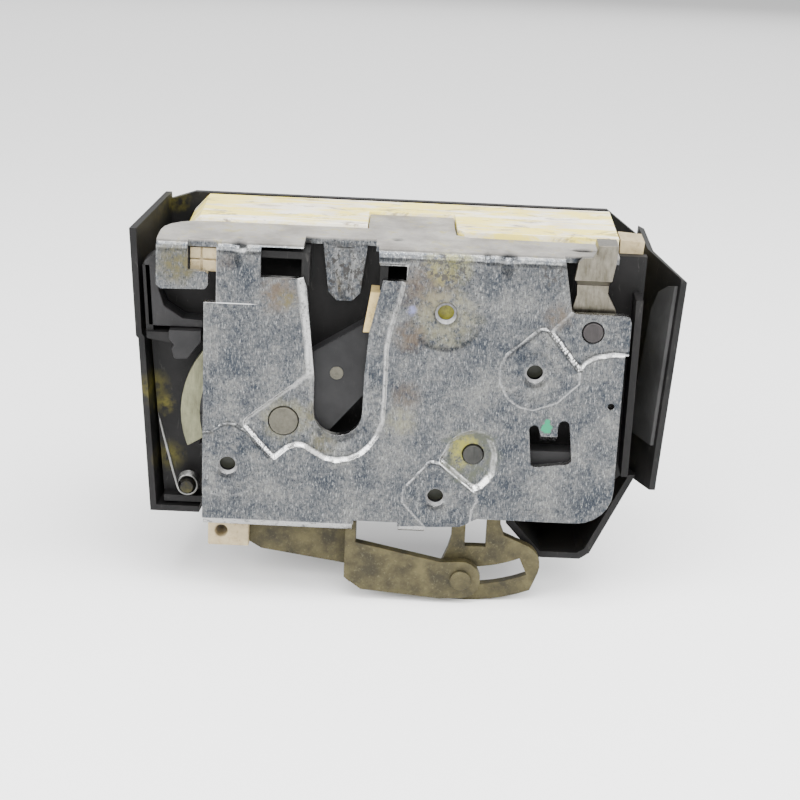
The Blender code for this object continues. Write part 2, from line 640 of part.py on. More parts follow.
def lock_motor():
    motor = pin("lock_motor", (0, 0), [(-54.0, -53.0, 4.0), (-53.0, -26.0, MOTOR_RADIUS),
                                       (-26.0, -24.6, 4.0)], steel(), PARTS, 28)
    along_x(motor, WORM_DEPTH, WORM_HEIGHT)
    smooth(motor)
    steps = []
    for turn in range(6):
        start = -23.4 + 3.0 * turn
        steps += [(start, start + 1.0, 2.4), (start + 1.4, start + 2.6, WORM_RADIUS)]
    worm = pin("motor_worm", (0, 0), [(-24.3, -23.4, 1.2), *steps, (-5.4, -4.0, 1.6)],
               material("brass_worm", (0.65, 0.48, 0.18), 0.35, 1.0), PARTS, 16)
    along_x(worm, WORM_DEPTH, WORM_HEIGHT)
    set_origin(worm, -14.0, WORM_DEPTH, WORM_HEIGHT)
    smooth(worm)


def drive_gear():
    points = []
    for tooth in range(GEAR_TEETH):
        base = 360 * tooth / GEAR_TEETH
        for offset, radius in ((-4.6, GEAR_RADIUS - 2), (-2.0, GEAR_RADIUS), (2.0, GEAR_RADIUS),
                               (4.6, GEAR_RADIUS - 2)):
            points.append(arc(GEAR_AXIS, radius, base + offset, base + offset, 1)[0])
    gear = prism("drive_gear", 27.0, 33.0, [points, circle(GEAR_AXIS, 2.0 + GAP, 16)],
                 white_nylon(), collection=PARTS)
    set_origin(gear, GEAR_AXIS[0], 30, GEAR_AXIS[1])
    smooth(gear)
    smooth(pin("gear_axle", GEAR_AXIS, [(18.0, 26.4, 3.2), (26.4, 43.7, 2.0)], steel(), PARTS, 16))


def lock_slider():
    slider = prism("lock_slider", 35.0, 38.0,
                   [[(2.0, -3.0), (38.0, -3.0), (38.0, 12.0), (34.0, 12.0), (34.0, 1.0),
                     (2.0, 1.0)]], black_plastic(), collection=PARTS)
    cut(slider, box("slider_slot", (8.0, 26.0), (30.0, 40.0), (-1.8, -0.2)))


def microswitch():
    switch = box("microswitch", (26.0, 44.0), (24.0, 31.0), (15.0, 24.0), black_plastic(), PARTS)
    join(switch, box("switch_button", (30.0, 33.0), (26.0, 29.0), (13.8, 16.0)))


def build():
    start_scene()
    face_plate()
    claw()
    pawl()
    release_lever()
    handle_link()
    rod_clip()
    return_spring()
    lock_lever()
    latch_frame()
    slot_buffer()
    window_block()
    back_plate()
    actuator_housing()
    outer_cover()
    lever_guide()
    connector_socket()
    lock_motor()
    drive_gear()
    lock_slider()
    microswitch()


build()
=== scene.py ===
"""A car side-door latch, taken out of its door: greased zinc face plate, open claw, levers,
black mouldings and the white nylon lock drive behind. Metres, in the frame's own axes; sizes in
the tables below are millimetres, turned into metres by MM."""
import json
import math

import bmesh
import bpy
from mathutils import Matrix, Vector


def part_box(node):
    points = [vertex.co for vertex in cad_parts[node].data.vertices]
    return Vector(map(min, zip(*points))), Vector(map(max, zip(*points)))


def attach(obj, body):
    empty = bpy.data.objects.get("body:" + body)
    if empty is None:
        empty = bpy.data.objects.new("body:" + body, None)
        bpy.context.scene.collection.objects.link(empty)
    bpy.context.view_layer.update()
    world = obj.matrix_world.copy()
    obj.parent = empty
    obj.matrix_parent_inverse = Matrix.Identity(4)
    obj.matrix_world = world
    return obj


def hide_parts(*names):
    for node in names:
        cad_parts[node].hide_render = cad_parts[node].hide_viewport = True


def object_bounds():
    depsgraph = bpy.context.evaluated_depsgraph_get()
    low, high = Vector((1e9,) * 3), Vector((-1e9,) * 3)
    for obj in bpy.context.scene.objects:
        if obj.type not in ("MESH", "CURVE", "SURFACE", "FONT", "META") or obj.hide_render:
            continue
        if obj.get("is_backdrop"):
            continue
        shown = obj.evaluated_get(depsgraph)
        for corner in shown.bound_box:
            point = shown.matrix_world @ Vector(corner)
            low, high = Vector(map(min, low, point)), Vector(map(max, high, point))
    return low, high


MM = 0.001

# Places on the face plate, as (x, z) seen from the front
SCREW_HOLES = ((6.6, 23.6), (30.0, 8.7), (-48.1, -20.1), (6.3, -26.5))
SCREW_CORE = 2.5                 # core radius of the M6 threads
COVER_SCREWS = ((-54.0, 31.0), (42.0, 31.0), (-50.0, -22.0))
# The cover's ribs, as (x, z) spans
COVER_RIBS = (((-60.0, 8.0), (21.0, 22.4)), ((-40.0, 46.0), (-15.4, -14.0)),
              ((-32.7, -31.3), (-30.0, 34.0)), ((0.3, 1.7), (-30.0, 34.0)),
              ((-60.0, 34.0), (-30.7, -29.3)), ((44.0, 45.4), (-40.0, 22.0)))
SHEET = 2.0                      # thickness of the face plate
FLANGE_TOP = 39.6

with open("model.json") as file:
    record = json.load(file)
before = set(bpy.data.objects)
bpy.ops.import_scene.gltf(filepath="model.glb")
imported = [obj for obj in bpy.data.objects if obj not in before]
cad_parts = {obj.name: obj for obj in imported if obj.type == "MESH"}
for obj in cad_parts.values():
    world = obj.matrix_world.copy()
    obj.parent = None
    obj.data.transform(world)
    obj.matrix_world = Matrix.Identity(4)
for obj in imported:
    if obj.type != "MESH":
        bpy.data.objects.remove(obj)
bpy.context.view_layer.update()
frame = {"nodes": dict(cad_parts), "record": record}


# --- finishes -----------------------------------------------------------------------------

class Value:
    """A number or colour in a finish. Sums on it add their Math nodes."""

    def __init__(self, finish, socket):
        self.finish = finish
        self.socket = socket

    def sum(self, operation, *terms):
        return self.finish.node("ShaderNodeMath", {"operation": operation},
                                dict(enumerate(terms)))

    def __add__(self, other):
        return self.sum("ADD", self, other)

    def __radd__(self, other):
        return self.sum("ADD", other, self)

    def __sub__(self, other):
        return self.sum("SUBTRACT", self, other)

    def __rsub__(self, other):
        return self.sum("SUBTRACT", other, self)

    def __mul__(self, other):
        return self.sum("MULTIPLY", self, other)

    def __rmul__(self, other):
        return self.sum("MULTIPLY", other, self)

    def within(self, low, high):
        """0 below low, 1 above high, and a straight slope between; reversed if low > high."""
        rise = 1 / (high - low)
        return self.finish.node("ShaderNodeMath", {"operation": "MULTIPLY_ADD", "use_clamp": True},
                                {0: self, 1: rise, 2: -low * rise})


class Finish:
    """A material made of nodes, round one Principled shader."""

    def __init__(self, name):
        self.material = bpy.data.materials.new(name)
        self.material.use_nodes = True
        self.tree = self.material.node_tree
        self.shader = self.tree.nodes["Principled BSDF"]
        self.place = self.node("ShaderNodeTexCoord", {}, {}, "Object")

    def node(self, kind, settings, sockets, output=0):
        """Adds a node: its settings first, then its sockets by name or number."""
        made = self.tree.nodes.new(kind)
        for key, setting in settings.items():
            if key == "stops":
                ramp = made.color_ramp.elements
                while len(ramp) < len(setting):
                    ramp.new(0.5)
                for element, (position, colour) in zip(ramp, setting):
                    element.position = position
                    element.color = (*colour, 1)
            else:
                setattr(made, key, setting)
        for key, value in sockets.items():
            self.feed(made.inputs[key], value)
        return Value(self, made.outputs[output])

    def feed(self, socket, value):
        if isinstance(value, Value):
            self.tree.links.new(value.socket, socket)
        elif isinstance(value, tuple) and len(socket.default_value) == 4:
            socket.default_value = (*value, 1)
        else:
            socket.default_value = value

    def noise(self, size, detail=4, rough=0.6, distortion=0.0, stretch=None):
        """Noise whose blotches are about so many millimetres across."""
        place = self.place
        if stretch:
            turn, scale = stretch
            place = self.node("ShaderNodeMapping", {}, {"Vector": self.place, "Rotation": turn,
                                                        "Scale": scale})
        return self.node("ShaderNodeTexNoise", {}, {"Vector": place, "Scale": 1 / (size * MM),
                                                    "Detail": detail, "Roughness": rough,
                                                    "Distortion": distortion})

    def mix(self, under, over, factor):
        """A colour over another, by a factor from 0 to 1."""
        return self.node("ShaderNodeMix", {"data_type": "RGBA"}, {0: factor, 6: under, 7: over}, 2)

    def tint(self, value, *stops):
        return self.node("ShaderNodeValToRGB", {"stops": stops}, {0: value})

    def near(self, x, z, radius, soft):
        """1 close to a point of the face, falling to 0 over the soft width; the edge wanders."""
        centre = (x * MM, 0, z * MM)
        flat = self.node("ShaderNodeVectorMath", {"operation": "MULTIPLY"},
                         {0: self.place, 1: (1, 0, 1)})
        gap = self.node("ShaderNodeVectorMath", {"operation": "DISTANCE"}, {0: flat, 1: centre},
                        "Value")
        wander = self.noise(radius * 0.5, 3) - 0.5
        return (gap + wander * (radius * MM)).within(radius * MM, (radius - soft) * MM)

    def bump(self, height, depth, strength):
        """Relief from a height, up to so many millimetres deep."""
        return self.node("ShaderNodeBump", {}, {"Height": height, "Distance": depth * MM,
                                                "Strength": strength})

    def surface(self, **sockets):
        for name, value in sockets.items():
            self.feed(self.shader.inputs[name.replace("_", " ")], value)
        return self.material


def zinc_finish(name, dark, mid, bright, grease=()):
    """Old zinc plating: cloudy, with fine bright scratches, dark specks and grease."""
    zinc = Finish(name)
    cloud = zinc.noise(10, 4, 0.65)
    mottle = zinc.noise(1.1, 3, 0.75)
    scratch = zinc.noise(0.40, 2, 0.7, 0.5, ((0, math.radians(32), 0), (1.0, 1.0, 0.28)))
    cross = zinc.noise(0.45, 2, 0.7, 0.6, ((0, math.radians(-38), 0), (1.0, 1.0, 0.33)))
    colour = zinc.tint(cloud * 0.55 + mottle * 0.45, (0.40, dark), (0.50, mid), (0.60, bright))
    fleck = scratch.within(0.53, 0.72) + cross.within(0.58, 0.76) * 0.7
    colour = zinc.mix(colour, (0.42, 0.43, 0.42), fleck * 0.34)
    pits = zinc.noise(0.45, 2, 0.6).within(0.56, 0.68)
    colour = zinc.mix(colour, tuple(0.3 * c for c in dark), pits * 0.65)
    rough = 0.25 - fleck * 0.05 + cloud * 0.14
    # Slopes of the press work get a brighter, smoother zinc: partly real burnishing, partly a
    # painted highlight for the light the slopes catch
    slope = zinc.node("ShaderNodeTexCoord", {}, {}, "Normal")
    slope = zinc.node("ShaderNodeSeparateXYZ", {}, {0: slope}, 1)
    wear_and_highlight = slope.within(-0.965, -0.78)
    if grease:
        height = zinc.node("ShaderNodeSeparateXYZ", {}, {0: zinc.place}, 2)
        wear_and_highlight = wear_and_highlight * height.within((FLANGE_TOP - 1.5) * MM, (FLANGE_TOP - 4.0) * MM)
    wear_and_highlight = wear_and_highlight * zinc.noise(2.0, 3, 0.7).within(0.30, 0.48)
    colour = zinc.mix(colour, (0.50, 0.50, 0.49), wear_and_highlight * 0.65)
    rough = rough - wear_and_highlight * 0.05
    metal = 1.0
    dull = 0
    for x, z, radius, soft, tone, amount in grease:
        spot = zinc.near(x, z, radius, soft) * zinc.noise(2.2, 4, 0.7).within(0.36, 0.55)
        colour = zinc.mix(colour, tone, spot * amount)
        dull = spot * amount + dull
    if grease:
        pitting = zinc.near(-19.6, 30.0, 9.5, 4.0) + zinc.near(6.0, 35.5, 9.0, 5.0)
        pitting = pitting + zinc.near(33.0, 35.0, 5.0, 3.0)
        pitting = pitting * zinc.noise(1.3, 3, 0.7).within(0.52, 0.57)
        colour = zinc.mix(colour, (0.02, 0.018, 0.016), pitting * 0.9)
        green = zinc.near(34.0, -5.9, 1.5, 0.4) + zinc.near(34.1, -4.2, 0.9, 0.4)
        green = green.within(0.1, 0.7)
        colour = zinc.mix(colour, (0.0, 0.16, 0.075), green)
        dull = dull + pitting * 0.8 + green
        rough = rough + dull * 0.3
        metal = 1.0 - dull * 0.8
        top = height.within((FLANGE_TOP - 0.9) * MM, (FLANGE_TOP - 0.2) * MM)
        warm = zinc.tint(cloud, (0.35, (0.20, 0.185, 0.165)), (0.6, (0.33, 0.315, 0.29)))
        smear = zinc.noise(5, 4, 0.7, 0.5).within(0.55, 0.68) * 0.6
        warm = zinc.mix(warm, (0.33, 0.28, 0.05), smear)
        colour = zinc.mix(colour, warm, top * 0.85)
        metal = metal * (1.0 - top * 0.6)
        rough = rough + top * 0.2
        line = (height - 23.8 * MM)
        line = line.sum("ABSOLUTE", line).within(0.16 * MM, 0.05 * MM)
        across = zinc.node("ShaderNodeSeparateXYZ", {}, {0: zinc.place}, 0)
        line = line * across.within(-41.0 * MM, -43.0 * MM)
        colour = zinc.mix(colour, (0.7, 0.7, 0.7), line * 0.8)
    relief = zinc.bump(scratch + cross * 0.8 + mottle * 0.5, 0.02, 0.8)
    return zinc.surface(Base_Color=colour, Roughness=rough, Metallic=metal, Normal=relief)


OLIVE = (0.055, 0.046, 0.008)
RUST = (0.055, 0.032, 0.012)
YELLOW = (0.20, 0.185, 0.02)
PALE_GREASE = (0.13, 0.122, 0.065)
PLATE_GREASE = (
    (-61.5, 33.5, 6.0, 3.5, OLIVE, 0.9), (-35.5, 26.8, 6.0, 4.0, RUST, 0.75),
    (-33.5, 25.5, 3.0, 2.0, OLIVE, 0.8), (2.0, 30.0, 9.0, 5.0, RUST, 0.6),
    (6.6, 22.5, 9.5, 4.0, PALE_GREASE, 0.55), (-2.0, 17.0, 5.0, 3.0, RUST, 0.7),
    (-26.5, -5.5, 4.0, 3.0, OLIVE, 0.6), (-23.5, -13.0, 4.5, 3.0, OLIVE, 0.65),
    (-33.8, -7.5, 7.0, 3.0, PALE_GREASE, 0.5), (-2.5, 1.0, 5.0, 3.0, RUST, 0.5),
    (-3.5, -6.0, 5.0, 3.0, PALE_GREASE, 0.5), (35.0, 24.0, 4.5, 3.0, RUST, 0.6),
    (15.0, -14.5, 8.0, 2.0, (0.045, 0.05, 0.032), 0.9), (13.6, -13.2, 4.6, 1.5, YELLOW, 0.8),
    (12.0, -17.0, 2.4, 1.5, YELLOW, 0.5), (-49.0, 34.5, 3.0, 2.0, RUST, 0.3),
    (-2.0, 24.0, 1.6, 1.0, (0.10, 0.11, 0.22), 0.8), (6.6, 36.5, 7.0, 3.0, YELLOW, 0.35),
)


def plate_finish():
    return zinc_finish("greased_zinc", (0.030, 0.035, 0.043), (0.072, 0.075, 0.079),
                       (0.125, 0.126, 0.122), PLATE_GREASE)


def plain_zinc():
    return zinc_finish("plain_zinc", (0.08, 0.085, 0.09), (0.16, 0.165, 0.17), (0.3, 0.3, 0.3))


def chromate_finish():
    """Olive-bronze chromate with rubbed patches, dark specks and a drawn grain."""
    olive = Finish("olive_chromate")
    cloud = olive.noise(7, 5, 0.65)
    grain = olive.noise(0.7, 3, 0.7, 0.4)
    colour = olive.tint(cloud, (0.36, (0.022, 0.019, 0.009)), (0.5, (0.050, 0.042, 0.018)),
                        (0.64, (0.080, 0.068, 0.029)))
    colour = olive.mix(colour, (0.13, 0.115, 0.06), grain.within(0.58, 0.75) * 0.55)
    colour = olive.mix(colour, (0.03, 0.028, 0.02), olive.noise(0.8, 2).within(0.66, 0.74) * 0.6)
    rough = 0.5 + cloud * 0.15 - grain.within(0.55, 0.8) * 0.15
    relief = olive.bump(grain + olive.noise(2.4, 3) * 0.5, 0.05, 0.6)
    return olive.surface(Base_Color=colour, Roughness=rough, Metallic=0.55, Normal=relief)


def steel_finish(name, dark, light, metallic=0.9, rough=0.34, grain=(1, 1, 0.2), size=0.8):
    """Plain steel with a drawn grain and slight staining."""
    steel = Finish(name)
    cloud = steel.noise(4, 4, 0.6)
    lines = steel.noise(size, 3, 0.7, 0.2, ((0, 0, 0), grain))
    colour = steel.tint(cloud * 0.5 + lines * 0.5, (0.36, dark), (0.62, light))
    relief = steel.bump(lines, 0.03, 0.5)
    return steel.surface(Base_Color=colour, Roughness=rough + cloud * 0.2, Metallic=metallic,
                         Normal=relief)


def moulding_finish(name, dark, light, rough=0.5, speck=0.25, stains=(),
                    dust=(0.30, 0.29, 0.26)):
    """Moulded plastic: spark-eroded grain, handling marks and a little dust."""
    plastic = Finish(name)
    cloud = plastic.noise(12, 4, 0.6)
    grain = plastic.noise(0.45, 2, 0.6)
    marks = plastic.noise(1.2, 3, 0.7, 1.0, ((0, math.radians(25), 0), (1, 1, 0.2)))
    colour = plastic.tint(cloud, (0.38, dark), (0.62, light))
    colour = plastic.mix(colour, dust, marks.within(0.62, 0.80) * speck * 0.4)
    for x, z, radius, amount in stains:
        stain = plastic.near(x, z, radius, radius * 0.7) * plastic.noise(2.5, 3).within(0.35, 0.6)
        colour = plastic.mix(colour, (0.07, 0.062, 0.010), stain * amount)
    relief = plastic.bump(grain + marks * 0.4, 0.04, 0.5)
    return plastic.surface(Base_Color=colour, Roughness=rough + cloud * 0.12, Normal=relief,
                           Specular_IOR_Level=0.18)


def nylon_finish():
    """Off-white nylon with smears of yellow grease and grey dirt on its top."""
    nylon = Finish("white_nylon")
    cloud = nylon.noise(14, 4, 0.6)
    colour = nylon.tint(cloud, (0.36, (0.62, 0.56, 0.44)), (0.6, (0.80, 0.76, 0.66)))
    smear = nylon.noise(9, 5, 0.7, 0.5, ((0, 0, math.radians(4)), (0.35, 1.4, 1)))
    colour = nylon.mix(colour, (0.80, 0.66, 0.08), smear.within(0.46, 0.56) * 0.85)
    dirt = nylon.noise(6, 5, 0.75, 0.8, ((0, 0, 0), (0.5, 1.6, 1)))
    colour = nylon.mix(colour, (0.16, 0.12, 0.075), dirt.within(0.54, 0.64) * 0.8)
    relief = nylon.bump(nylon.noise(0.6, 2) + cloud, 0.05, 0.4)
    return nylon.surface(Base_Color=colour, Roughness=0.42 + cloud * 0.15, Normal=relief,
                         Subsurface_Weight=0.08, Subsurface_Radius=(0.004, 0.003, 0.002),
                         Subsurface_Scale=0.5)


def cream_finish(name, base, stain, amount=0.7):
    cream = Finish(name)
    cloud = cream.noise(3, 4, 0.7)
    colour = cream.tint(cloud, (0.35, tuple(0.75 * c for c in base)), (0.6, base))
    colour = cream.mix(colour, stain, cream.noise(1.6, 4, 0.7).within(0.52, 0.68) * amount)
    relief = cream.bump(cream.noise(0.5, 2), 0.05, 0.5)
    return cream.surface(Base_Color=colour, Roughness=0.45 + cloud * 0.2, Normal=relief)


FRAME_STAINS = ((-68.8, -3.0, 5.0, 0.8), (-66.0, -8.4, 3.5, 1.0), (-64.6, -23.0, 5.0, 0.8),
                (-66.8, 38.0, 4.0, 0.6), (-59.0, -30.0, 3.0, 0.4))
FINISHES = {
    "plate": plate_finish(),
    "zinc": plain_zinc(),
    "chromate": chromate_finish(),
    "claw_steel": steel_finish("greased_claw_steel", (0.075, 0.075, 0.042), (0.15, 0.15, 0.09),
                               0.45),
    "pawl_steel": steel_finish("pawl_steel", (0.16, 0.16, 0.15), (0.36, 0.36, 0.34)),
    "nickel": steel_finish("nickel_steel", (0.075, 0.068, 0.050), (0.17, 0.157, 0.128), 1.0, 0.24),
    "rivet": steel_finish("rivet_steel", (0.045, 0.042, 0.031), (0.085, 0.08, 0.06), 0.45, 0.45,
                          (1, 1, 1)),
    "dark_rivet": steel_finish("dark_rivet", (0.012, 0.010, 0.010), (0.032, 0.028, 0.028), 0.5,
                               0.42),
    "pin": steel_finish("greasy_pin", (0.010, 0.010, 0.009), (0.03, 0.03, 0.027), 0.5, 0.38),
    "spring": steel_finish("spring_wire", (0.10, 0.10, 0.097), (0.21, 0.21, 0.20), 1.0, 0.3),
    "screw": steel_finish("black_zinc_screw", (0.08, 0.08, 0.08), (0.2, 0.2, 0.2), 0.9, 0.35),
    "brass": steel_finish("turned_brass", (0.45, 0.32, 0.10), (0.72, 0.55, 0.22), 1.0, 0.3),
    "black": moulding_finish("black_moulding", (0.0035, 0.0035, 0.0035), (0.0075, 0.007, 0.007),
                             stains=FRAME_STAINS),
    "grey_black": moulding_finish("grey_black_moulding", (0.009, 0.009, 0.0095),
                                  (0.016, 0.0155, 0.016), 0.45, 0.12),
    # Lighter grey copy of the black moulding: painted light for the lit inner face of the cover's
    # side wall
    "painted_light_grey": moulding_finish("painted_light_grey_moulding", (0.022, 0.022, 0.022),
                                  (0.034, 0.034, 0.034), 0.5, 0.1),
    "claw_plastic": moulding_finish("claw_jacket_moulding", (0.008, 0.008, 0.0085),
                                    (0.014, 0.014, 0.0145), 0.42, 0.1),
    "nylon": nylon_finish(),
    "cream": cream_finish("aged_cream_plastic", (0.36, 0.29, 0.165), (0.17, 0.115, 0.04)),
    "hole_grease": cream_finish("yellow_green_grease", (0.19, 0.18, 0.012), (0.04, 0.035, 0.006)),
    "dark_grease": cream_finish("dark_green_grease", (0.022, 0.024, 0.012), (0.006, 0.006, 0.004)),
    "tan": cream_finish("tan_rubber", (0.36, 0.27, 0.11), (0.13, 0.09, 0.025)),
}

# Which finish and edge radius (mm) each frame node's own refined copy takes
NODE_FINISH = {
    "back_plate": ("zinc", 0.2), "latch_frame": ("black", 0.25), "outer_cover": ("black", 0.3),
    "actuator_housing": ("nylon", 0.6), "slot_buffer": ("tan", 0.3),
    "window_block": ("cream", 0.25), "lever_guide": ("cream", 0.35),
    "claw_rivet": ("rivet", 0.3), "pawl_pin": ("pin", 0.25), "lock_rivet": ("dark_rivet", 0.3),
    "claw_core": ("claw_steel", 0.2),
    "pawl": ("pawl_steel", 0.25), "release_lever": ("chromate", 0.35),
    "handle_link": ("chromate", 0.4), "link_pin": ("chromate", 0.25),
    "rod_clip": ("cream", 0.4), "lock_lever": ("nickel", 0.2),
    "connector_socket": ("black", 0.2), "microswitch": ("black", 0.2),
    "lock_motor": ("zinc", 0.4), "motor_worm": ("brass", 0.1), "drive_gear": ("nylon", 0.15),
    "gear_axle": ("rivet", 0.2), "lock_slider": ("black", 0.2),
    "cover_screw_1": ("screw", 0.25), "cover_screw_2": ("screw", 0.25),
    "cover_screw_3": ("screw", 0.25),
}
SPRINGS = ("claw_spring", "pawl_spring", "release_return_spring")


# --- modelling helpers --------------------------------------------------------------------

def only(piece):
    bpy.ops.object.select_all(action="DESELECT")
    piece.select_set(True)
    bpy.context.view_layer.objects.active = piece


def body_of_node(node):
    for body, nodes in frame["record"]["behaviour"]["bodies"].items():
        if node in nodes:
            return body
    raise KeyError(node)


def merged_copy(node, name):
    """A copy of a frame node as one clean mesh, with its flat faces whole again."""
    source = frame["nodes"][node]
    piece = bpy.data.objects.new(name, source.data.copy())
    piece.matrix_world = source.matrix_world
    bpy.context.scene.collection.objects.link(piece)
    only(piece)
    bpy.ops.object.transform_apply(location=True, rotation=True, scale=True)
    bpy.ops.object.mode_set(mode="EDIT")
    bpy.ops.mesh.select_all(action="SELECT")
    bpy.ops.mesh.remove_doubles(threshold=0.000004)
    bpy.ops.mesh.dissolve_limited(angle_limit=math.radians(0.5))
    bpy.ops.mesh.select_all(action="SELECT")
    bpy.ops.mesh.normals_make_consistent(inside=False)
    bpy.ops.object.mode_set(mode="OBJECT")
    piece.data.materials.clear()
    return piece


def face_outwards(piece):
    only(piece)
    bpy.ops.object.mode_set(mode="EDIT")
    bpy.ops.mesh.select_all(action="SELECT")
    bpy.ops.mesh.normals_make_consistent(inside=False)
    bpy.ops.object.mode_set(mode="OBJECT")


def apply_modifier(piece, kind, **settings):
    only(piece)
    modifier = piece.modifiers.new(kind, kind)
    for key, value in settings.items():
        setattr(modifier, key, value)
    bpy.ops.object.modifier_apply(modifier=modifier.name)


def round_edges(piece, radius, segments=2, angle=28):
    apply_modifier(piece, "BEVEL", width=radius * MM, segments=segments, limit_method="ANGLE",
                   angle_limit=math.radians(angle), harden_normals=False)


def shade(piece, angle=40):
    only(piece)
    bpy.ops.object.shade_smooth_by_angle(angle=math.radians(angle))
    apply_modifier(piece, "WEIGHTED_NORMAL", keep_sharp=True)


def finish_piece(piece, finish, body, replaces=()):
    piece.data.materials.clear()
    piece.data.materials.append(FINISHES[finish])
    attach(piece, body)
    if replaces:
        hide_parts(*replaces)


def refined(node, finish, radius):
    piece = merged_copy(node, node + "_fine")
    round_edges(piece, radius)
    shade(piece)
    finish_piece(piece, finish, body_of_node(node), (node,))
    return piece


# --- face plate ---------------------------------------------------------------------------

# Press work, as outlines of (x, z, width of the slope along the side that starts there)
MOUTH_SUNK = ((-32.2, 36.0, 2.6), (-31.0, 24.6, 2.6), (-29.0, 11.5, 2.4), (-28.6, 6.2, 2.0),
              (-32.0, 2.9, 1.3), (-43.7, -6.7, 0.4), (-44.1, -9.0, 0.15), (-35.9, -18.3, 1.1),
              (-32.4, -15.1, 1.1), (-30.6, -14.3, 1.1), (-28.6, -14.4, 1.1), (-26.4, -15.8, 1.1),
              (-22.9, -17.7, 1.1), (-19.8, -18.2, 1.1), (-16.4, -17.6, 1.1), (-13.5, -16.1, 1.1),
              (-11.0, -13.6, 1.1), (-9.0, -10.5, 1.1), (-7.8, -6.8, 1.1), (-7.4, 0.0, 1.1),
              (-7.4, 13.5, 1.1), (-6.7, 17.9, 1.1), (-3.9, 29.8, 1.1), (-3.0, 36.0, 0.1))
PAWL_SUNK = ((7.0, -16.6, 0.3), (7.2, -14.8, 1.7), (8.9, -10.8, 1.7), (11.6, -8.2, 1.7),
             (15.1, -7.1, 1.7), (18.0, -7.6, 1.7), (20.3, -9.1, 1.7), (21.9, -13.6, 1.7),
             (21.6, -19.7, 1.9), (18.6, -23.7, 1.4), (16.4, -24.4, 0.15))
RIVET_SUNK = ((33.1, 20.4, 0.15), (41.8, 9.5, 1.2), (43.0, 11.6, 1.2), (45.1, 13.0, 1.2),
              (49.7, 14.0, 1.2), (56.0, 13.6, 0.1), (56.0, 30.0, 0.1), (38.2, 30.0, 0.1),
              (38.2, 26.0, 1.2))
BOSS_B = ((30.4, 21.2, 1.1), (21.9, 13.6, 1.1), (20.4, 9.8, 1.0), (20.7, 6.0, 0.9),
          (23.1, 1.5, 0.7), (26.4, -0.8, 0.7), (30.1, -1.5, 0.7), (36.3, 0.8, 0.7),
          (41.8, 6.4, 0.7), (41.8, 9.4, 0.15), (33.0, 20.4, 0.5), (32.0, 21.4, 1.0))
BOSS_D = ((4.2, -16.0, 1.0), (-2.3, -24.1, 1.0), (-2.9, -26.2, 0.9), (-2.6, -28.4, 0.8),
          (0.0, -31.5, 0.8), (4.4, -36.0, 0.1), (15.6, -36.0, 0.5), (16.3, -29.3, 0.5),
          (17.7, -26.7, 0.5), (16.4, -24.4, 0.15), (7.0, -16.6, 0.4))
BOSS_C = ((-56.0, -10.9, 0.8), (-52.4, -10.7, 0.8), (-50.1, -8.6, 0.8), (-47.9, -7.9, 0.8),
          (-45.8, -8.4, 0.8), (-44.1, -9.6, 0.15), (-35.9, -18.4, 1.5), (-35.6, -21.3, 1.5),
          (-38.5, -25.0, 2.0), (-45.0, -29.0, 2.0), (-56.0, -29.5, 0.1))
MOUTH_DEPTH, PAWL_DEPTH, RIVET_DEPTH = 1.1, 1.4, 0.8
BOSS_HEIGHT, LOW_BOSS_HEIGHT = 0.55, 0.45
COIN_RADIUS, COIN_DEPTH = 9.8, 0.3
LIP_DEPTH = 0.5                  # how far the mouth's edge is rolled in
GRID = 0.6                       # spacing of the plate's points
FLANGE_GRID = 0.7                # and of those along the top flange
SHEET_BACK = 2.1                 # just behind the plate's rear face
PLATE_FOOT = -35.4               # below this the bottom lips bend back
FOLD_FOOT = 32.5                 # where the darts of the top fold begin
TONGUE_MIDDLE = -19.6            # x of the tongue in the mouth


def level(outline, x, z):
    """How far a point is up the slopes of an outline: 0 outside, 1 on its level floor."""
    inside = False
    nearest = 1.0
    for (x1, z1, width), (x2, z2, _) in zip(outline, outline[1:] + outline[:1]):
        if (z1 > z) != (z2 > z) and x < x1 + (z - z1) * (x2 - x1) / (z2 - z1):
            inside = not inside
        dx, dz = x2 - x1, z2 - z1
        along = max(0.0, min(1.0, ((x - x1) * dx + (z - z1) * dz) / (dx * dx + dz * dz)))
        gap = math.hypot(x - x1 - along * dx, z - z1 - along * dz) / width
        nearest = min(nearest, gap)
    return nearest * nearest * (3 - 2 * nearest) if inside else 0.0


def ridge(distance, width):
    """A rounded rib or groove: 1 on its line, 0 from its width outwards."""
    part = min(1.0, abs(distance) / width)
    return 1 - part * part * (3 - 2 * part)


def mouth_edge():
    """The edge of the striker's mouth, from its top left round to its top right."""
    bottom = []
    for turn in range(180, 361, 20):
        angle = math.radians(turn)
        bottom.append((-19.9 + 6.3 * math.cos(angle), -4.8 + 6.3 * math.sin(angle)))
    return [(-29.9, 32.0), (-28.7, 28.2), (-26.2, 4.4), *bottom, (-13.4, 5.5), (-12.6, 17.1),
            (-9.5, 31.2)]


MOUTH_EDGE = mouth_edge()


def gap_to_line(line, x, z):
    """Distance from a point to a line of points, in millimetres."""
    nearest = 1000.0
    for (x1, z1), (x2, z2) in zip(line, line[1:]):
        dx, dz = x2 - x1, z2 - z1
        along = max(0.0, min(1.0, ((x - x1) * dx + (z - z1) * dz) / (dx * dx + dz * dz)))
        nearest = min(nearest, math.hypot(x - x1 - along * dx, z - z1 - along * dz))
    return nearest


